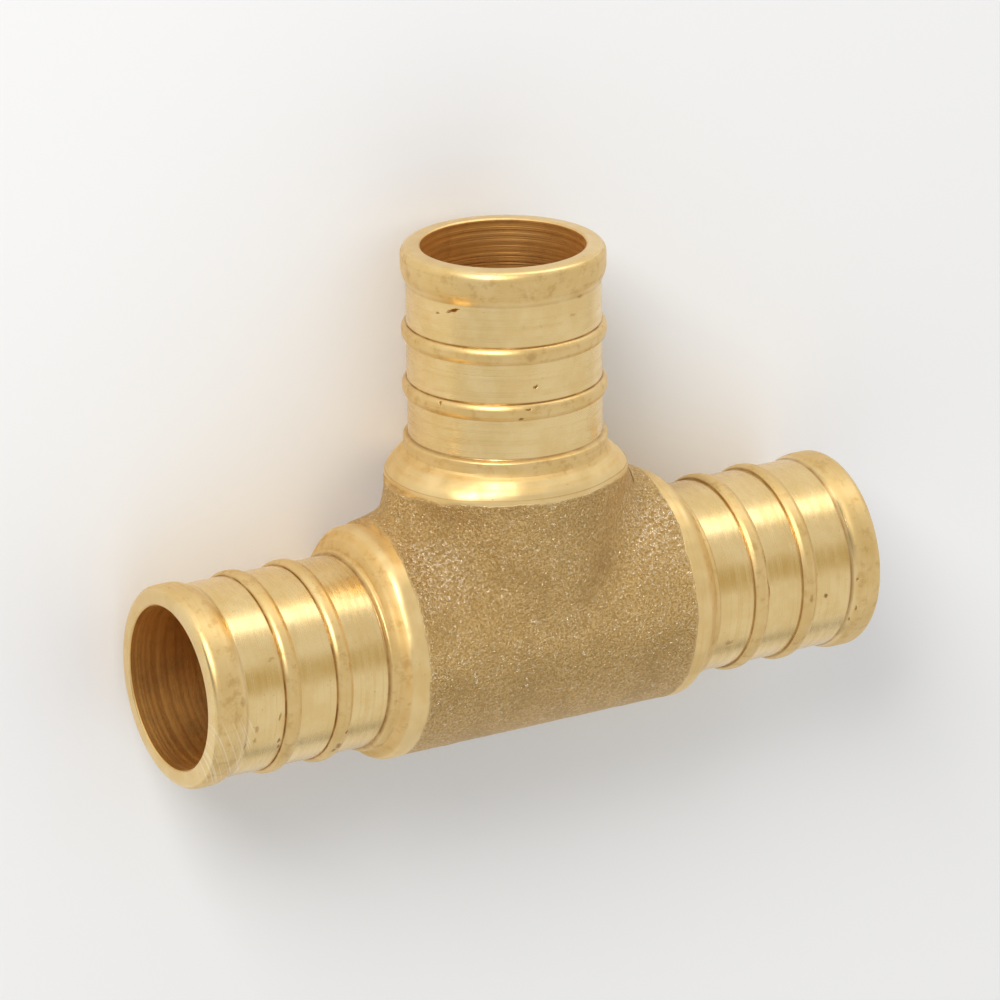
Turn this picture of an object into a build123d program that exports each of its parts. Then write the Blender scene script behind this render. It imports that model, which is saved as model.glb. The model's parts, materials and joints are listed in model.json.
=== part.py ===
from build123d import *
import math
import os

# A brass tee for crimped plastic water pipe: one casting whose three ends are turned into
# barbed spigots. The pipe slides over a spigot up to the shoulder, and a ring crimped round
# the pipe closes it on the ribs.
#
# Frame: the origin is where the centre lines of the run and the branch cross. X lies along
# the run, Y points out of the branch, and Z is up, square to both, so the tee lies flat.
# All sizes are in millimetres. A depth is measured from an end's mouth inwards.

# Overall reach of the ends from the crossing
run_reach = 32.5
branch_reach = 33.05

# Cast body
body_radius = 9.65
neck_relief = 0.05
crotch_radius = 6.0

# Waterway
bore_radius = 6.95
bore_edge_break = 0.15

# Barbed ends
land_radius = 8.2
rib_radius = 8.6
nose_round = 1.0
nose_rib_depth = 2.15
nose_rib_taper = 0.95
first_rib_depth = 6.66
rib_pitch = 4.84
rib_lead = 0.27
rib_crest = 1.1
full_ribs = 2

# Low last rib and the shoulder that stops the pipe
last_rib_lead = 0.2
last_rib_crest = 0.35
shoulder_crown = 0.25
shoulder_proud = 0.08
run_shoulder_length = 2.6
branch_shoulder_length = 2.95

last_rib_depth = first_rib_depth + full_ribs * rib_pitch
shoulder_depth = last_rib_depth + last_rib_lead + last_rib_crest

upwards = (Align.CENTER, Align.CENTER, Align.MIN)


def cast_radius_at(distance):
    """The widest that the casting gets at this distance along an arm, in the crotch."""
    short_of_contact = body_radius + crotch_radius - distance
    if short_of_contact <= 0:
        return body_radius
    across = min(short_of_contact, crotch_radius)
    return body_radius + crotch_radius - math.sqrt(crotch_radius**2 - across**2)


def cast_reach(reach, shoulder_length):
    """How far from the crossing the rough cast skin reaches on an arm."""
    return reach - shoulder_depth - shoulder_length


def barbed_outline(reach, shoulder_length):
    """Half section of one turned end, as (radius, distance) with the mouth at reach."""
    skin_end = cast_reach(reach, shoulder_length)
    shoulder_top = cast_radius_at(skin_end) + shoulder_proud
    nose_corner = rib_radius - nose_round
    nose_middle = nose_round * math.sqrt(0.5)
    steps = [
        (rib_radius, reach - nose_round),
        (rib_radius, reach - nose_rib_depth),
        (land_radius, reach - nose_rib_depth - nose_rib_taper),
    ]
    for n in range(full_ribs):
        foot = reach - first_rib_depth - n * rib_pitch
        back = foot - rib_lead - rib_crest
        steps += [(land_radius, foot), (rib_radius, foot - rib_lead)]
        steps += [(rib_radius, back), (land_radius, back)]
    foot = reach - last_rib_depth
    shoulder_foot = (rib_radius, reach - shoulder_depth)
    steps += [(land_radius, foot), (rib_radius, foot - last_rib_lead), shoulder_foot]

    with BuildLine() as outline:
        Line((0, reach), (nose_corner, reach))
        ThreePointArc(
            (nose_corner, reach),
            (nose_corner + nose_middle, reach - nose_round + nose_middle),
            steps[0],
        )
        Polyline(*steps)
        SagittaArc(shoulder_foot, (shoulder_top, skin_end), shoulder_crown)
        Polyline((shoulder_top, skin_end), (0, skin_end), (0, reach))
    return outline.line


def turning_waste(reach, shoulder_length):
    """The ring that turning takes off an arm along Z, from where the cast skin stops."""
    skin_end = cast_reach(reach, shoulder_length)
    kept = revolve(Plane.XZ * make_face(barbed_outline(reach, shoulder_length)), Axis.Z)
    swing = cast_radius_at(skin_end) + crotch_radius / 2
    ring = Cylinder(swing, reach, align=upwards)
    return Pos(0, 0, skin_end) * ring - kept


def casting():
    """The blank: a run and a neck of nearly one size, with rounded crotches between them."""
    run = Rot(0, 90, 0) * Cylinder(body_radius, 2 * run_reach)
    neck = Rot(-90, 0, 0) * Cylinder(body_radius - neck_relief, branch_reach, align=upwards)
    blank = run + neck
    crotch = [
        edge
        for edge in blank.edges().filter_by(GeomType.LINE, reverse=True)
        if abs(edge.center().X) < run_reach / 2 and edge.center().Y < branch_reach / 2
    ]
    return fillet(crotch, crotch_radius)


def drilling(reach):
    """A drill's path along Z from the crossing out of an end, with the mouth's broken edge."""
    mouth = Pos(0, 0, reach - bore_edge_break) * Cone(
        bore_radius, bore_radius + bore_edge_break, bore_edge_break, align=upwards
    )
    return Cylinder(bore_radius, reach, align=upwards) + mouth


def tee():
    """The finished fitting, its seams turned to the side that the branch is on."""
    right = Rot(0, 90, 0) * Rot(0, 0, 90)
    left = Rot(0, -90, 0) * Rot(0, 0, 90)
    branch = Rot(-90, 0, 0)
    body = casting()
    for arm, reach, shoulder_length in (
        (right, run_reach, run_shoulder_length),
        (left, run_reach, run_shoulder_length),
        (branch, branch_reach, branch_shoulder_length),
    ):
        body -= arm * turning_waste(reach, shoulder_length)
    for arm, reach in ((right, run_reach), (left, run_reach), (branch, branch_reach)):
        body -= arm * drilling(reach)
    body.label = "tee_body"
    return body


os.makedirs("parts", exist_ok=True)
export_step(tee(), "parts/tee_body.step")
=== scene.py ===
import json
import math

import bmesh
import bpy
from mathutils import Matrix, Vector, noise


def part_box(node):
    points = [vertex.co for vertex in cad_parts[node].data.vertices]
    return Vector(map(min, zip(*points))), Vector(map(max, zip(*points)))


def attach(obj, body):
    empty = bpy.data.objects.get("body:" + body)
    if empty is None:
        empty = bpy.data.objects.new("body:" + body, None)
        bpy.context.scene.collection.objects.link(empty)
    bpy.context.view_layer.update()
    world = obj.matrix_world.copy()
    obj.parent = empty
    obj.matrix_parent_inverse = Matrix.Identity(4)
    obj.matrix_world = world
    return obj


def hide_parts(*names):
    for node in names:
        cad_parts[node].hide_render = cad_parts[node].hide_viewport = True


# A brass crimp tee lying on a pale studio floor. The CAD model gives its reach, its thickness,
# its bore and its ribs; this script gives it its skin: the sand grain of the casting, the tool
# marks of the turned ends, and the small knocks and stains of a fitting from the bin.
#
# Shapes are worked out in millimetres and made metres at the end. X runs along the run, Y out
# of the branch and Z up.

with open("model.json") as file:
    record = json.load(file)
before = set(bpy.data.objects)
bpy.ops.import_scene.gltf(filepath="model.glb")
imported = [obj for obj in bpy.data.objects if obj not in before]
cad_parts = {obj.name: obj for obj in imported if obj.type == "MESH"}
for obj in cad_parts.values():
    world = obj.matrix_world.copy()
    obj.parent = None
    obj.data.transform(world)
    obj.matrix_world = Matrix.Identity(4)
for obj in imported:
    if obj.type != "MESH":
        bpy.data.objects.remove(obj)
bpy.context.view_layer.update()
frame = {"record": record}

MM = 0.001
low, high = (tuple(c / MM for c in corner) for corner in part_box("tee_body"))
mounts = {mount["name"]: mount for mount in frame["record"]["mounts"]}

# Sizes that the CAD model fixes
RUN_REACH = high[0]
BRANCH_REACH = high[1]
BODY_RADIUS = high[2]
BORE_RADIUS = mounts["run_bore"]["dims"]["r_mm"]
RIB_RADIUS = mounts["branch_spigot"]["dims"]["r_mm"]

# Sizes of the details
CROTCH_RADIUS = 6.0
LAND_RADIUS = 8.2
EDGE_BREAK = 0.15
NOSE_ROUND = 0.8
NOSE_RIB_DEPTH = 2.15
NOSE_TAPER = 0.95
FIRST_RIB_DEPTH = 6.66
RIB_PITCH = 4.84
RIB_LEAD = 0.27
RIB_CREST = 1.1
LAST_RIB_LEAD = 0.2
LAST_RIB_CREST = 0.35
BACK_STEP = 0.2
BACK_SLOPE = 0.38
FRONT_STEP = 0.17
FOOT_GROOVE = 0.04
COLLAR_RADIUS = 10.28
COLLAR_LENGTH = 2.8
SKIN_END_RUN = 13.0
SKIN_END_BRANCH = 13.2
BRANCH_START = BODY_RADIUS + 1.5
BORE_SKIN = BORE_RADIUS + 0.06
TURNED_LENGTH = 18
LUMP_DEPTH = 0.05
# width of the painted shade in each rib corner
SHADE_WIDTH = 0.12

# How dark the painted shade lies before a rib, behind it, and behind the nose rib
CORNER_SHADE = {"right": (0.3, 1.0, 0.9), "left": (1.0, 0.5, 0.35), "branch": (0.8, 0.65, 0.25)}

# Mesh density
AROUND = 192
HALF_ELBOW = 42
BORE_STEPS = 26
SHOULDER_STEPS = 14
LONGEST_STEP = 0.6
SHARP_ANGLE = math.radians(21)


# The stretches of an arm, each from its outer to its inner edge, as depth below the mouth
NOSE_END = NOSE_RIB_DEPTH + NOSE_TAPER
RIB_WIDTH = RIB_LEAD + RIB_CREST
SECOND_RIB_DEPTH = FIRST_RIB_DEPTH + RIB_PITCH
STRETCHES = {
    "nose": (0.0, NOSE_END),
    "outer land": (NOSE_END, FIRST_RIB_DEPTH),
    "first rib": (FIRST_RIB_DEPTH, FIRST_RIB_DEPTH + RIB_WIDTH),
    "middle land": (FIRST_RIB_DEPTH + RIB_WIDTH, SECOND_RIB_DEPTH),
    "second rib": (SECOND_RIB_DEPTH, SECOND_RIB_DEPTH + RIB_WIDTH),
    "inner land": (SECOND_RIB_DEPTH + RIB_WIDTH, SECOND_RIB_DEPTH + RIB_PITCH),
    "shoulder": (SECOND_RIB_DEPTH + RIB_PITCH, BRANCH_REACH - SKIN_END_BRANCH),
}

# Knocks and stains, listed: arm, stretch, share of the way in across it, angle round the
# arm, half length along the arm, half length round it, turn of the mark, how dark. Angles are in
# degrees, from the branch side on the run and from +X on the branch, towards the top.
KNOCKS = [
    ("branch", "outer land", 0.15, 150, 0.16, 0.52, 24, 1.0),
    ("branch", "outer land", 0.2, 153, 0.13, 0.40, 20, 0.8),
    ("branch", "outer land", 0.3, 162, 0.12, 0.18, 0, 0.6),
    ("branch", "outer land", 0.4, 76, 0.12, 0.40, 0, 0.25),
    ("branch", "middle land", 0.6, 102, 0.13, 0.24, 30, 0.9),
    ("branch", "second rib", 0.2, 159, 0.16, 0.16, 0, 0.7),
    ("branch", "second rib", 0.3, 107, 0.12, 0.30, 8, 0.8),
    ("branch", "second rib", 0.9, 111, 0.12, 0.20, 0, 0.7),
    ("branch", "first rib", 0.5, 105, 0.45, 0.55, 15, 0.3),
    ("branch", "nose", 0.95, 45, 0.22, 0.40, 0, 0.4),
    ("branch", "nose", 1.0, 70, 0.16, 0.45, 0, 0.4),
    ("branch", "shoulder", 0.75, 170, 0.50, 0.80, 10, 0.45),
    ("right", "outer land", 0.7, 97, 0.22, 0.24, 0, 0.8),
    ("right", "first rib", 0.5, 95, 0.24, 0.45, 0, 0.35),
    ("right", "second rib", 0.0, 65, 0.10, 0.90, 0, 0.6),
    ("right", "second rib", 0.0, 84, 0.12, 0.90, 8, 0.6),
    ("right", "inner land", 0.6, 117, 0.45, 0.30, 0, 0.4),
    ("right", "nose", 0.85, 90, 0.12, 0.20, 0, 0.6),
    ("right", "nose", 0.8, 109, 0.12, 0.25, 0, 0.6),
    ("right", "nose", 0.9, 118, 0.12, 0.25, 0, 0.6),
    ("left", "outer land", 0.85, 98, 0.12, 0.45, -12, 0.5),
    ("left", "outer land", 0.25, 103, 0.18, 0.35, 0, 0.4),
    ("left", "outer land", 0.25, 111, 0.16, 0.30, 0, 0.35),
    ("left", "outer land", 0.9, 115, 0.14, 0.30, 0, 0.6),
    ("left", "outer land", 0.95, 120, 0.12, 0.20, 0, 0.6),
    ("left", "outer land", 0.75, 63, 0.40, 0.12, 25, 0.3),
    ("left", "second rib", 0.8, 118, 0.20, 0.24, 0, 0.6),
    ("left", "second rib", 0.55, 129, 0.30, 0.50, 20, 0.55),
    ("left", "second rib", 0.4, 133, 0.20, 0.30, 0, 0.55),
    ("left", "nose", 0.85, 83, 0.35, 0.50, 0, 0.25),
    ("left", "nose", 1.0, 113, 0.14, 0.35, 0, 0.4),
]

# centre of the painted glints in each crotch
GLINT_SPOT = (10.6, 7.2, 5.6)
ARM_AXES = {"right": Vector((1, 0, 0)), "left": Vector((-1, 0, 0)), "branch": Vector((0, 1, 0))}


# ---------------------------------------------------------------- shape of the casting


def elbow_point(across, along, radius, crotch, run_end, branch_end):
    """A point on the right-hand elbow of a tee whose run and branch are equally thick.

    across is the angle from the tee's middle plane, -90 to 90 degrees in radians. along runs
    from 0 at run_end on the run, through 0.5 in the crotch, to 1 at branch_end on the branch.
    A ball of the crotch radius rolls round between run and branch and leaves the fillet.
    """
    width = radius * math.cos(across)
    centre = (radius + crotch) * math.cos(across)
    height = radius * math.sin(across)
    on_branch = along > 0.5
    end = branch_end if on_branch else run_end
    share = 2 * (1 - along) if on_branch else 2 * along
    sweep = math.acos(min(1.0, math.sin(across) ** 2))
    if crotch * sweep < 1e-6:
        straight, first, arc = max(0.0, end - width), 0.0, 0.0
    else:
        straight = max(0.0, end - centre)
        reach = (centre - end) / (crotch * math.cos(across)) * math.sin(sweep)
        first = math.asin(max(0.0, min(1.0, reach)))
        arc = crotch * (sweep / 2 - first)
    travelled = share * (straight + arc)
    if travelled <= straight or arc <= 0.0:
        x, y, z = end - travelled, width, height
    else:
        turned = first + (travelled - straight) / crotch
        near = math.sin(sweep - turned) / math.sin(sweep)
        far = math.sin(turned) / math.sin(sweep)
        x = centre - crotch * math.cos(across) * far
        y = centre - crotch * math.cos(across) * near
        z = (radius + crotch) * math.sin(across) - crotch * math.sin(across) * (near + far)
    return (y, x, z) if on_branch else (x, y, z)


def skin_point(across, along):
    """A point on the casting's elbow, with the collar that stands on it where the turning ends."""
    shape = (BODY_RADIUS, CROTCH_RADIUS, SKIN_END_RUN, SKIN_END_BRANCH)
    x, y, z = elbow_point(across, along, *shape)
    on_branch = along > 0.5
    edge = elbow_point(across, 1.0 if on_branch else 0.0, *shape)
    outward = edge[0] if on_branch else edge[1]
    lack = max(0.0, COLLAR_RADIUS - math.hypot(outward, edge[2]))
    fade = smooth((math.radians(62) - abs(across)) / math.radians(35))
    from_end = SKIN_END_BRANCH - y if on_branch else SKIN_END_RUN - x
    rise = lack * fade * smooth(1.0 - from_end / COLLAR_LENGTH)
    radius = math.hypot(x if on_branch else y, z)
    grow = 1.0 + rise / radius
    return (x * grow, y, z * grow) if on_branch else (x, y * grow, z * grow)


def smooth(share):
    """A soft step from 0 to 1 as the share goes from 0 to 1."""
    share = max(0.0, min(1.0, share))
    return share * share * (3 - 2 * share)


def add_elbow(shell, side, steps, shape):
    """Lay a grid over the right or left elbow, with side 1 or -1."""
    grid = bmesh.ops.create_grid(shell, x_segments=2 * steps, y_segments=AROUND // 2, size=1)
    for vert in grid["verts"]:
        x, y, z = shape(vert.co.y * math.pi / 2, (vert.co.x + 1) / 2)
        vert.co = Vector((side * x, y, z))


def add_underside(shell, steps, radius, run_end):
    """Lay a grid over the half of the run that faces away from the branch."""
    grid = bmesh.ops.create_grid(shell, x_segments=2 * steps, y_segments=AROUND // 2, size=1)
    for vert in grid["verts"]:
        angle = vert.co.y * math.pi / 2
        vert.co = Vector(
            (vert.co.x * run_end, -radius * math.cos(angle), radius * math.sin(angle))
        )


def bore_point(across, along):
    """A point on the bores' elbow, where they meet without a fillet."""
    run_end = RUN_REACH - EDGE_BREAK
    return elbow_point(across, along, BORE_RADIUS, 0.0, run_end, BRANCH_REACH - EDGE_BREAK)


def skin_ring(arm, angle):
    """Where the casting's skin ends on an arm, at this angle from the branch side to the top."""
    near_side = abs(angle) <= math.pi / 2
    if arm == "branch":
        across = angle if near_side else math.copysign(math.pi, angle) - angle
        x, y, z = skin_point(across, 1.0)
        return (x if near_side else -x), z
    if near_side:
        return skin_point(angle, 0.0)[1:]
    return BODY_RADIUS * math.cos(angle), BODY_RADIUS * math.sin(angle)


# ---------------------------------------------------------------- shape of a turned end


def end_outline(reach):
    """The turned outline from the shoulder's foot to the mouth, as (distance, radius, round).

    Points with a round of 0 lie beside the corners and keep the shading of the lands flat.
    """
    last_rib_depth = FIRST_RIB_DEPTH + 2 * RIB_PITCH
    last_crest = reach - last_rib_depth - LAST_RIB_LEAD
    outline = [
        (last_crest - LAST_RIB_CREST, RIB_RADIUS, 0.1),
        (last_crest, RIB_RADIUS, 0.12),
        (last_crest + LAST_RIB_LEAD, LAND_RADIUS, 0.03),
        (last_crest + LAST_RIB_LEAD + 0.14, LAND_RADIUS, 0),
    ]
    for n in (1, 0):
        foot = reach - FIRST_RIB_DEPTH - n * RIB_PITCH
        back = foot - RIB_LEAD - RIB_CREST
        outline += [
            (back - 0.14, LAND_RADIUS, 0),
            (back - 0.02, LAND_RADIUS, 0.03),
            (back, LAND_RADIUS + BACK_STEP, 0.04),
            (back + BACK_SLOPE, RIB_RADIUS, 0.12),
            (foot - RIB_LEAD - 0.06, RIB_RADIUS, 0.2),
            (foot - 0.04, LAND_RADIUS + FRONT_STEP, 0.05),
            (foot, LAND_RADIUS - FOOT_GROOVE, 0.02),
            (foot + 0.06, LAND_RADIUS, 0.02),
            (foot + 0.16, LAND_RADIUS, 0),
        ]
    nose_back = reach - NOSE_RIB_DEPTH
    outline += [
        (nose_back - NOSE_TAPER - 0.2, LAND_RADIUS, 0),
        (nose_back - NOSE_TAPER - 0.05, LAND_RADIUS, 0.05),
        (nose_back, RIB_RADIUS, 0.35),
        (reach, RIB_RADIUS, NOSE_ROUND),
        (reach, BORE_RADIUS + EDGE_BREAK, 0.05),
        (reach - EDGE_BREAK, BORE_RADIUS, 0.04),
    ]
    return outline


def turned_end(reach, skin_end, arm):
    """One barbed end along Z, spun from its outline, with the shoulder laid on the casting."""
    end = bmesh.new()
    outline = end_outline(reach)
    verts = [end.verts.new((radius, 0, distance)) for distance, radius, _ in outline]
    edges = [end.edges.new(pair) for pair in zip(verts, verts[1:])]
    for vert, (_, _, rounding) in list(zip(verts, outline))[1:-1]:
        if rounding == 0:
            continue
        steps = 7 if rounding > 0.5 else 4 if rounding > 0.1 else 1
        bmesh.ops.bevel(
            end,
            geom=[vert],
            offset=rounding,
            offset_type="OFFSET",
            segments=steps,
            profile=0.5,
            affect="VERTICES",
            material=-1,
        )
    for edge in list(end.edges):
        cuts = int(edge.calc_length() / LONGEST_STEP)
        if cuts:
            bmesh.ops.subdivide_edges(end, edges=[edge], cuts=cuts)
    foot = min(end.verts, key=lambda vert: vert.co.z)
    shoulder_foot = foot.co.z
    chain = bmesh.ops.extrude_vert_indiv(end, verts=[foot])
    for step in range(1, SHOULDER_STEPS + 1):
        tip = chain["verts"][0]
        tip.co.z = shoulder_foot + (skin_end - shoulder_foot) * step / SHOULDER_STEPS
        if step < SHOULDER_STEPS:
            chain = bmesh.ops.extrude_vert_indiv(end, verts=[tip])
    bmesh.ops.spin(
        end,
        geom=end.verts[:] + end.edges[:],
        axis=(0, 0, 1),
        cent=(0, 0, 0),
        dvec=(0, 0, 0),
        angle=2 * math.pi,
        steps=AROUND,
        use_merge=True,
        use_duplicate=False,
    )
    for vert in end.verts:
        if vert.co.z < shoulder_foot - 1e-5:
            angle = math.atan2(vert.co.y, vert.co.x)
            ring = skin_ring(arm, angle)
            risen = shoulder_rise(arm, angle, vert.co.z, skin_end)
            vert.co.x += (ring[0] - vert.co.x) * risen
            vert.co.y += (ring[1] - vert.co.y) * risen
    return end


def shoulder_rise(arm, angle, distance, skin_end):
    """How much of the shoulder's height is reached here: a hand-dressed roll, not a true turn."""
    side = math.cos(angle)
    if arm == "branch":
        foot, top = skin_end + 2.2, skin_end + 0.1
        fullness = 1.25 + 0.3 * side
    else:
        foot, top = skin_end + 2.5 + 0.45 * side, skin_end + 0.9
        fullness = 0.92 + 0.35 * side
    past = min(1.0, max(0.0, (foot - distance) / (foot - top)))
    return math.sin(past * math.pi / 2) ** fullness


def turn_to_arm(end, arm):
    """Turn an end from Z to its arm: its own X, the branch side, stays towards the branch."""
    if arm == "branch":
        turn = Matrix(((1, 0, 0), (0, 0, 1), (0, 1, 0)))
    else:
        side = 1 if arm == "right" else -1
        turn = Matrix(((0, 0, side), (1, 0, 0), (0, 1, 0)))
    bmesh.ops.transform(end, matrix=turn.to_4x4(), verts=end.verts)


# ---------------------------------------------------------------- the piece


def merge_into(shell, part):
    """Add a part's faces to the shell and let go of the part."""
    mesh = bpy.data.meshes.new("part")
    part.to_mesh(mesh)
    part.free()
    shell.from_mesh(mesh)
    bpy.data.meshes.remove(mesh)


def tee_shell():
    """The whole skin, outside and in the bores, as one closed shell in millimetres."""
    shell = bmesh.new()
    for side in (1, -1):
        add_elbow(shell, side, HALF_ELBOW, skin_point)
        add_elbow(shell, side, BORE_STEPS, bore_point)
    add_underside(shell, HALF_ELBOW, BODY_RADIUS, SKIN_END_RUN)
    add_underside(shell, BORE_STEPS, BORE_RADIUS, RUN_REACH - EDGE_BREAK)
    for arm, reach, skin_end in (
        ("right", RUN_REACH, SKIN_END_RUN),
        ("left", RUN_REACH, SKIN_END_RUN),
        ("branch", BRANCH_REACH, SKIN_END_BRANCH),
    ):
        end = turned_end(reach, skin_end, arm)
        turn_to_arm(end, arm)
        merge_into(shell, end)
    bmesh.ops.remove_doubles(shell, verts=shell.verts, dist=0.004)
    bmesh.ops.recalc_face_normals(shell, faces=shell.faces)
    return shell


def mark_surface(shell):
    """Note on each vertex how much it is bore, painted rib-corner shade or rib crest, and roughen
    the casting.
    """
    layers = {name: shell.verts.layers.float.new(name) for name in ("bore", "rib_corner_shade", "crest")}
    for vert in shell.verts:
        x, y, z = vert.co
        on_branch = y > BRANCH_START
        distance = y if on_branch else abs(x)
        radius = math.hypot(x, z) if on_branch else math.hypot(y, z)
        reach = BRANCH_REACH if on_branch else RUN_REACH
        in_run_bore = math.hypot(y, z) < BORE_SKIN
        if in_run_bore or (y > 0 and math.hypot(x, z) < BORE_SKIN):
            vert[layers["bore"]] = 1.0
            continue
        skin_end = SKIN_END_BRANCH if on_branch else SKIN_END_RUN
        if distance < skin_end:
            roughen(vert, min(1.0, (skin_end - distance) / 0.5))
            continue
        if radius < RIB_RADIUS - 0.1:
            # painted shade in the rib corners, kept on the vertices near the land
            arm = "branch" if on_branch else "right" if x > 0 else "left"
            low_down = 1.0 - max(0.0, radius - LAND_RADIUS) / BACK_STEP
            vert[layers["rib_corner_shade"]] = painted_corner_shade(arm, distance, reach) * max(0.0, low_down)
        if radius > LAND_RADIUS + BACK_STEP and distance > reach - TURNED_LENGTH:
            vert[layers["crest"]] = 1.0


def painted_corner_shade(arm, distance, reach):
    """Painted shade in the rib corners, darkest on the side facing the camera: on the right arm
    behind each rib, elsewhere before it.
    """
    front, behind, nose = CORNER_SHADE[arm]
    shade = nose * (1.0 - abs(distance - reach + NOSE_END) / SHADE_WIDTH)
    for n in range(3):
        foot = reach - FIRST_RIB_DEPTH - n * RIB_PITCH
        back = foot - RIB_LEAD - RIB_CREST
        shade = max(shade, front * (1.0 - abs(distance - foot) / SHADE_WIDTH))
        if n < 2:
            shade = max(shade, behind * (1.0 - abs(distance - back) / SHADE_WIDTH))
    return max(shade, 0.0)


def roughen(vert, share):
    """Sink a point of the casting by its sand lumps."""
    lump = noise.noise(vert.co * 0.55) * 0.6 + noise.noise(vert.co * 1.3) * 0.5
    grit = noise.noise(vert.co * 2.9) * 0.35
    vert.co -= vert.normal * share * LUMP_DEPTH * (1.0 - lump - grit)


def make_tee():
    """The finished mesh, in metres, with its turned corners kept sharp."""
    shell = tee_shell()
    mark_surface(shell)
    bmesh.ops.scale(shell, vec=(MM, MM, MM), verts=shell.verts)
    for face in shell.faces:
        face.smooth = True
    for edge in shell.edges:
        edge.smooth = not edge.is_manifold or edge.calc_face_angle() < SHARP_ANGLE
    mesh = bpy.data.meshes.new("brass_tee")
    shell.to_mesh(mesh)
    open_edges = sum(1 for edge in shell.edges if not edge.is_manifold)
    print("tee faces", len(shell.faces), "open edges", open_edges)
    shell.free()
    tee = bpy.data.objects.new("brass_tee", mesh)
    bpy.context.scene.collection.objects.link(tee)
    return tee


tee = make_tee()
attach(tee, "root")
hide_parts("tee_body")

# ---------------------------------------------------------------- finish

# Tones of the turned brass, its painted corner shade and knocks, the bores and the casting
PALE_BRASS = (0.80, 0.575, 0.25, 1)
BRIGHT_BRASS = (0.86, 0.645, 0.315, 1)
STREAK_BROWN = (0.68, 0.42, 0.13, 1)
CREST_BROWN = (0.64, 0.42, 0.14, 1)
SMUTCH_BROWN = (0.50, 0.28, 0.07, 1)
FLECK_BROWN = (0.36, 0.19, 0.06, 1)
SWIRL_PALE = (0.98, 0.86, 0.62, 1)
# painted shade for the rib corners and the groove above the branch's shoulder
LINE_SHADE = (0.26, 0.105, 0.022, 1)
KNOCK_BROWN = (0.25, 0.085, 0.012, 1)
BORE_BROWN = (0.80, 0.465, 0.135, 1)
BORE_BRIGHT = (0.88, 0.55, 0.20, 1)
BORE_PATCH = (0.62, 0.36, 0.12, 1)
BORE_SPECK = (0.4, 0.2, 0.05, 1)
CAST_PIT = (0.47, 0.29, 0.095, 1)
CAST_GRAIN = (0.73, 0.505, 0.225, 1)
CAST_TARNISH = (0.43, 0.27, 0.095, 1)
# painted highlight for the glints on the casting's grain
CAST_GLINT = (0.97, 0.83, 0.60, 1)
CAST_LIP = (0.78, 0.57, 0.29, 1)

class Nodes:
    """A node tree, with short calls that add a node and give back its output."""

    def __init__(self, tree):
        self.tree = tree

    def node(self, kind, inputs, **settings):
        made = self.tree.nodes.new(kind)
        for key, value in settings.items():
            setattr(made, key, value)
        for key, value in inputs.items():
            self.feed(made.inputs[key], value)
        return made

    def feed(self, socket, value):
        if isinstance(value, bpy.types.NodeSocket):
            self.tree.links.new(value, socket)
        else:
            socket.default_value = value

    def math(self, operation, first, second=0.0, third=0.0):
        inputs = {0: first, 1: second, 2: third}
        return self.node("ShaderNodeMath", inputs, operation=operation).outputs[0]

    def times(self, first, second):
        return self.math("MULTIPLY", first, second)

    def most(self, first, second):
        return self.math("MAXIMUM", first, second)

    def ramp(self, value, start, end, low=0.0, high=1.0):
        """Low up to start, high from end, and a smooth change between."""
        inputs = {"Value": value, "From Min": start, "From Max": end, "To Min": low, "To Max": high}
        settings = {"interpolation_type": "SMOOTHSTEP", "clamp": True}
        return self.node("ShaderNodeMapRange", inputs, **settings).outputs["Result"]

    def noise(self, vector, scale, detail=2.0, roughness=0.5):
        inputs = {"Vector": vector, "Scale": scale, "Detail": detail, "Roughness": roughness}
        return self.node("ShaderNodeTexNoise", inputs, noise_dimensions="3D").outputs[0]

    def lines(self, value, scale, detail=2.0, roughness=0.5):
        """Noise along one number only, so that it makes lines across it."""
        inputs = {"W": value, "Scale": scale, "Detail": detail, "Roughness": roughness}
        return self.node("ShaderNodeTexNoise", inputs, noise_dimensions="1D").outputs[0]

    def blend(self, share, first, second, how="MIX"):
        inputs = {"Factor": share, 6: first, 7: second}
        settings = {"data_type": "RGBA", "blend_type": how, "clamp_factor": True}
        return self.node("ShaderNodeMix", inputs, **settings).outputs[2]

    def choose(self, share, first, second):
        """A number between two others."""
        return self.node("ShaderNodeMix", {"Factor": share, 2: first, 3: second}).outputs[0]

    def vector(self, operation, first, second=(0.0, 0.0, 0.0)):
        inputs = {0: first, 1: second}
        made = self.node("ShaderNodeVectorMath", inputs, operation=operation)
        return made.outputs["Value" if operation in ("LENGTH", "DOT_PRODUCT") else "Vector"]

    def attribute(self, name):
        return self.node("ShaderNodeAttribute", {}, attribute_name=name).outputs["Fac"]

    def bump(self, height):
        """Relief from a height in millimetres."""
        inputs = {"Height": height, "Distance": MM, "Strength": 1.0}
        return self.node("ShaderNodeBump", inputs).outputs["Normal"]


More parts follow.
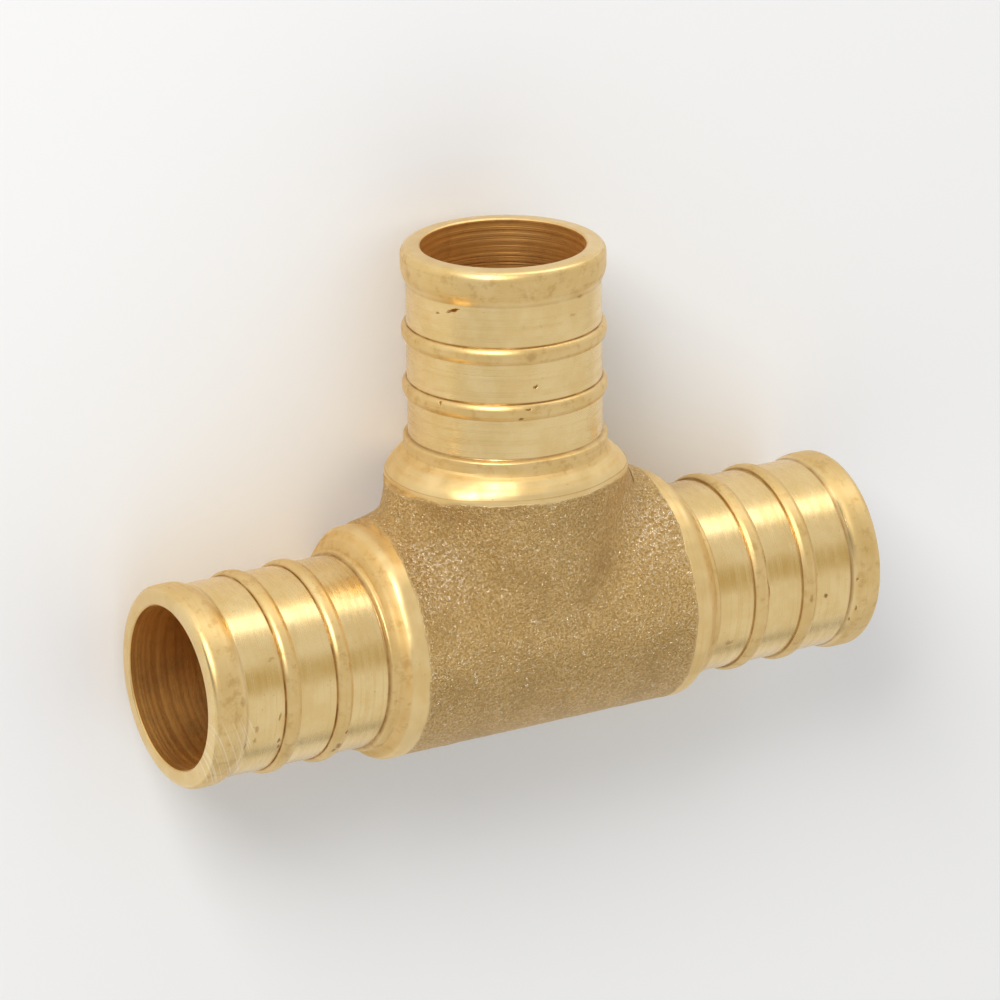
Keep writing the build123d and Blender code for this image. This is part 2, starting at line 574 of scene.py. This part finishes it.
def knock_marks(nodes, place):
    """The knocks and stains, as how dark the surface is at each place."""
    ragged = nodes.node("ShaderNodeTexNoise", {"Vector": place, "Scale": 2.2, "Detail": 3.0})
    wobble = nodes.vector("SUBTRACT", ragged.outputs["Color"], (0.5, 0.5, 0.5))
    wobble = nodes.vector("MULTIPLY", wobble, (0.45, 0.45, 0.45))
    wobbled = nodes.vector("ADD", place, wobble)
    dark = 0.0
    for arm, stretch, share, angle, long, wide, turn, darkness in KNOCKS:
        outer, inner = STRETCHES[stretch]
        reach = BRANCH_REACH if arm == "branch" else RUN_REACH
        distance = reach - outer - share * (inner - outer)
        side, up = math.cos(math.radians(angle)), math.sin(math.radians(angle))
        outward = Vector((side, 0, up)) if arm == "branch" else Vector((0, side, up))
        axis = ARM_AXES[arm]
        centre = axis * distance + outward * (LAND_RADIUS + 0.15)
        axis = Matrix.Rotation(math.radians(turn), 3, outward) @ axis
        mark_turn = Matrix((axis, outward.cross(axis), outward)).transposed()
        local = nodes.node(
            "ShaderNodeMapping",
            {
                "Vector": wobbled,
                "Location": centre,
                "Rotation": Vector(mark_turn.to_euler()),
                "Scale": (long, wide, 0.8),
            },
            vector_type="TEXTURE",
        ).outputs[0]
        mark = nodes.ramp(nodes.vector("LENGTH", local), 1.25, 0.45)
        dark = nodes.most(dark, nodes.times(mark, darkness))
    return dark


def swirl_marks(nodes, parts):
    """Bright tool lines that cross the left nose rib aslant."""
    angle = nodes.math("ARCTAN2", parts["Z"], parts["Y"])
    slant = nodes.math("MULTIPLY_ADD", angle, 3.7, nodes.times(parts["X"], -1.0))
    line = nodes.ramp(nodes.lines(slant, 3.6, 2.0, 0.7), 0.52, 0.68)
    near_nose = nodes.ramp(parts["X"], -28.2, -29.4)
    upper = nodes.times(nodes.ramp(angle, 1.5, 1.8), nodes.ramp(angle, 2.6, 2.3))
    return nodes.times(nodes.times(line, near_nose), upper)


def brass_finish():
    """Rough sand-cast skin on the body, and turned brass beyond it and in the bores."""
    material = bpy.data.materials.new("brass")
    material.use_nodes = True
    nodes = Nodes(material.node_tree)
    shader = material.node_tree.nodes["Principled BSDF"]
    place = nodes.node("ShaderNodeTexCoord", {}).outputs["Object"]
    place = nodes.vector("MULTIPLY", place, (1 / MM, 1 / MM, 1 / MM))
    parts = nodes.node("ShaderNodeSeparateXYZ", {"Vector": place}).outputs
    bore = nodes.attribute("bore")
    rib_corner_shade = nodes.attribute("rib_corner_shade")
    crest = nodes.attribute("crest")

    # where the turning starts: a slightly ragged line round each arm
    along_run = nodes.math("ABSOLUTE", parts["X"])
    past_run = nodes.math("SUBTRACT", along_run, SKIN_END_RUN)
    past_branch = nodes.math("SUBTRACT", parts["Y"], SKIN_END_BRANCH)
    past = nodes.most(past_run, past_branch)
    shoulder = nodes.ramp(past, 3.2, 1.5)
    ragged = nodes.math("SUBTRACT", nodes.noise(place, 0.45, 4.0, 0.62), 0.5)
    past = nodes.math("MULTIPLY_ADD", ragged, 0.7, past)
    turned = nodes.most(nodes.ramp(past, -0.04, 0.05), bore)
    cast = nodes.math("SUBTRACT", 1.0, turned)
    skin_lip = nodes.times(nodes.ramp(past, -0.25, 0.0), nodes.ramp(past, 0.12, 0.0))

    # tool marks run round each arm
    on_branch = nodes.math("GREATER_THAN", parts["Y"], BRANCH_START)
    along = nodes.choose(on_branch, parts["X"], parts["Y"])
    squeezed = nodes.node(
        "ShaderNodeMix",
        {
            "Factor": on_branch,
            4: nodes.vector("MULTIPLY", place, (0.12, 1.0, 1.0)),
            5: nodes.vector("MULTIPLY", place, (1.0, 0.12, 1.0)),
        },
        data_type="VECTOR",
    ).outputs[1]
    shoulder = nodes.times(shoulder, nodes.math("SUBTRACT", turned, bore))
    chatter = nodes.times(nodes.noise(squeezed, 0.42, 1.0), shoulder)
    fine_marks = nodes.lines(along, 16.0, 3.0, 0.6)
    broad_marks = nodes.lines(along, 1.9, 3.0, 0.6)
    patchy = nodes.noise(place, 0.45, 2.0)

    # turned brass: pale, browner in streaks and on the rib crests
    mottle = nodes.noise(place, 0.32, 3.0, 0.6)
    speckle = nodes.noise(place, 3.4, 3.0, 0.65)
    tone = nodes.blend(nodes.ramp(mottle, 0.35, 0.65), PALE_BRASS, BRIGHT_BRASS)
    streak = nodes.times(nodes.ramp(broad_marks, 0.46, 0.7), nodes.ramp(patchy, 0.4, 0.65))
    tone = nodes.blend(nodes.times(streak, 0.25), tone, STREAK_BROWN)
    smutch = nodes.times(nodes.ramp(nodes.noise(place, 0.9, 4.0, 0.7), 0.5, 0.68), crest)
    tone = nodes.blend(nodes.times(crest, 0.25), tone, CREST_BROWN)
    tone = nodes.blend(nodes.times(smutch, 0.38), tone, SMUTCH_BROWN)
    fleck = nodes.times(nodes.ramp(speckle, 0.66, 0.72), nodes.ramp(patchy, 0.45, 0.6))
    tone = nodes.blend(nodes.times(fleck, 0.5), tone, FLECK_BROWN)
    swirl = swirl_marks(nodes, parts)
    tone = nodes.blend(nodes.times(swirl, 0.5), tone, SWIRL_PALE)
    # painted shade: the rib corners darkened in colour, broken by a little noise, and a thin groove
    # line
    line_shade = nodes.times(rib_corner_shade, nodes.ramp(nodes.noise(place, 0.5, 3.0), 0.35, 0.6, 0.5, 1.0))
    from_groove = nodes.math("ABSOLUTE", nodes.math("SUBTRACT", past_branch, 0.42))
    groove = nodes.ramp(from_groove, 0.07, 0.0)
    line_shade = nodes.most(line_shade, nodes.times(groove, 0.35))
    tone = nodes.blend(line_shade, tone, LINE_SHADE)
    dark = knock_marks(nodes, place)
    tone = nodes.blend(dark, tone, KNOCK_BROWN)

    # the bores: browner, with rings of brighter and darker brass
    bore_rings = nodes.ramp(nodes.lines(along, 2.2, 2.0, 0.6), 0.3, 0.7)
    bore_rings = nodes.times(bore_rings, nodes.choose(on_branch, 0.15, 1.0))
    bore_tone = nodes.blend(bore_rings, BORE_BROWN, BORE_BRIGHT)
    patches = nodes.ramp(nodes.noise(place, 0.3, 4.0, 0.7), 0.42, 0.68, 0.0, 0.75)
    bore_tone = nodes.blend(patches, bore_tone, BORE_PATCH)
    bore_tone = nodes.blend(nodes.ramp(speckle, 0.6, 0.74, 0.0, 0.35), bore_tone, BORE_SPECK)
    tone = nodes.blend(bore, tone, bore_tone)

    # cast brass: brown gold, darker in the pits and brighter on the grains
    grain = nodes.noise(place, 4.6, 3.0, 0.74)
    pits = nodes.noise(place, 9.0, 2.0, 0.6)
    tarnish = nodes.noise(place, 0.2, 4.0, 0.6)
    cast_tone = nodes.blend(nodes.ramp(grain, 0.36, 0.66), CAST_PIT, CAST_GRAIN)
    tarnished = nodes.ramp(tarnish, 0.38, 0.7, 0.0, 0.5)
    cast_tone = nodes.blend(tarnished, cast_tone, CAST_TARNISH)

    # painted highlight: the grain peaks are painted bright as glints, more of them in the two
    # crotches
    mirrored = nodes.node(
        "ShaderNodeCombineXYZ", {"X": along_run, "Y": parts["Y"], "Z": parts["Z"]}
    ).outputs[0]
    from_crotch = nodes.vector("LENGTH", nodes.vector("SUBTRACT", mirrored, GLINT_SPOT))
    crotch_glint = nodes.ramp(from_crotch, 5.5, 1.5)
    bright_grain = nodes.noise(place, 3.6, 3.0, 0.7)
    glint = nodes.ramp(nodes.math("MULTIPLY_ADD", crotch_glint, 0.07, bright_grain), 0.57, 0.66)
    cast_tone = nodes.blend(nodes.times(glint, 0.65), cast_tone, CAST_GLINT)
    cast_tone = nodes.blend(nodes.times(skin_lip, 0.5), cast_tone, CAST_LIP)
    tone = nodes.blend(turned, cast_tone, tone)
    nodes.feed(shader.inputs["Base Color"], tone)

    turned_rough = nodes.ramp(broad_marks, 0.3, 0.7, 0.2, 0.3)
    turned_rough = nodes.math("MULTIPLY_ADD", crest, 0.2, turned_rough)
    turned_rough = nodes.math("MULTIPLY_ADD", nodes.most(line_shade, dark), 0.35, turned_rough)
    turned_rough = nodes.math("MULTIPLY_ADD", bore, 0.24, turned_rough)
    turned_rough = nodes.math("MULTIPLY_ADD", shoulder, 0.22, turned_rough)
    cast_rough = nodes.ramp(pits, 0.3, 0.7, 0.36, 0.52)
    cast_rough = nodes.math("MULTIPLY_ADD", glint, -0.2, cast_rough)
    nodes.feed(shader.inputs["Roughness"], nodes.choose(turned, cast_rough, turned_rough))
    shader.inputs["Metallic"].default_value = 1.0

    # fine relief, in millimetres
    grains = nodes.times(nodes.math("MULTIPLY_ADD", pits, 0.5, grain), 0.22)
    tooled = nodes.math("MULTIPLY_ADD", broad_marks, 4.0, fine_marks)
    tooled = nodes.math("MULTIPLY_ADD", mottle, 6.0, tooled)
    ring_depth = nodes.times(bore, nodes.ramp(patchy, 0.35, 0.65, 0.006, 0.02))
    tooled = nodes.math("MULTIPLY_ADD", bore_rings, ring_depth, nodes.times(tooled, 0.0028))
    tooled = nodes.math("MULTIPLY_ADD", dark, -0.07, tooled)
    tooled = nodes.math("MULTIPLY_ADD", chatter, 0.26, tooled)
    tooled = nodes.math("SUBTRACT", tooled, 0.03)
    relief = nodes.choose(turned, grains, tooled)
    nodes.feed(shader.inputs["Normal"], nodes.bump(relief))
    return material


tee.data.materials.append(brass_finish())


# ---------------------------------------------------------------- studio

FLOOR_SIZE = 6
LAMP_DISTANCE = 0.8
CAMERA_TURN = math.radians(30.092)
CAMERA_TIP = math.radians(19.377)
CAMERA_ROLL = math.radians(-0.742)
CAMERA_DISTANCE = 0.551503
LENS = 234.15
AIM_RIGHT = -0.000647
AIM_UP = 0.009766


def studio():
    """A pale floor, pale walls and two soft lamps."""
    bpy.ops.mesh.primitive_plane_add(size=FLOOR_SIZE, location=(0, 0, low[2] * MM))
    floor = bpy.context.object
    floor.name = "floor"
    paint = bpy.data.materials.new("pale_floor")
    paint.use_nodes = True
    surface = paint.node_tree.nodes["Principled BSDF"]
    surface.inputs["Base Color"].default_value = (0.9, 0.9, 0.9, 1)
    surface.inputs["Roughness"].default_value = 0.8
    floor.data.materials.append(paint)

    # pale walls, dimmer behind the camera, with a brown gap overhead
    world = bpy.data.worlds.new("studio")
    world.use_nodes = True
    nodes = Nodes(world.node_tree)
    direction = nodes.node("ShaderNodeTexCoord", {}).outputs["Generated"]
    gap = nodes.vector("DOT_PRODUCT", direction, Vector((0.47, 0.14, 0.87)).normalized())
    back = world.node_tree.nodes["Background"]
    behind = nodes.vector("DOT_PRODUCT", direction, Vector((-0.6, 0.62, 0.5)).normalized())
    warm = nodes.ramp(gap, 0.95, 0.995)
    nodes.feed(back.inputs["Color"], nodes.blend(warm, (1, 1, 1, 1), (0.70, 0.60, 0.38, 1)))
    parts = nodes.node("ShaderNodeSeparateXYZ", {"Vector": direction}).outputs
    low_front = nodes.times(nodes.ramp(parts["Z"], 0.28, 0.02), nodes.ramp(parts["Y"], -0.5, -0.8))
    walls = nodes.ramp(behind, 0.56, 0.86, 0.79, 0.25)
    walls = nodes.times(walls, nodes.math("MULTIPLY_ADD", low_front, -0.5, 1.0))
    nodes.feed(back.inputs["Strength"], walls)
    bpy.context.scene.world = world

    def panel(name, direction, width, height, power):
        lamp = bpy.data.lights.new(name, "AREA")
        lamp.shape = "RECTANGLE"
        lamp.size, lamp.size_y = width, height
        lamp.energy = power
        holder = bpy.data.objects.new(name, lamp)
        bpy.context.scene.collection.objects.link(holder)
        away = Vector(direction).normalized()
        holder.location = away * LAMP_DISTANCE
        holder.rotation_euler = away.to_track_quat("Z", "Y").to_euler()

    panel("key", (0.3, 0.93, 0.17), 1.1, 0.26, 1.22)
    panel("fill", (-0.55, 0.66, 0.5), 0.35, 0.35, 4.2)


def camera():
    """A long lens from the left front, looking down on the lying tee."""
    turn, tip, roll = CAMERA_TURN, CAMERA_TIP, CAMERA_ROLL
    forward = Vector(
        (math.sin(turn) * math.cos(tip), -math.sin(tip), -math.cos(turn) * math.cos(tip))
    )
    level_right = Vector((math.cos(turn), 0, math.sin(turn)))
    level_up = level_right.cross(forward)
    right = level_right * math.cos(roll) + level_up * math.sin(roll)
    up = level_up * math.cos(roll) - level_right * math.sin(roll)
    lens = bpy.data.cameras.new("camera")
    lens.sensor_width = 36
    lens.lens = LENS
    lens.clip_start = 0.02
    lens.clip_end = 20
    eye = bpy.data.objects.new("camera", lens)
    bpy.context.scene.collection.objects.link(eye)
    aim = right * AIM_RIGHT + up * AIM_UP
    stand = Matrix.Translation(aim - forward * CAMERA_DISTANCE)
    eye.matrix_world = stand @ Matrix((right, up, -forward)).transposed().to_4x4()
    bpy.context.scene.camera = eye


studio()
camera()
bpy.context.scene.view_settings.view_transform = "Standard"
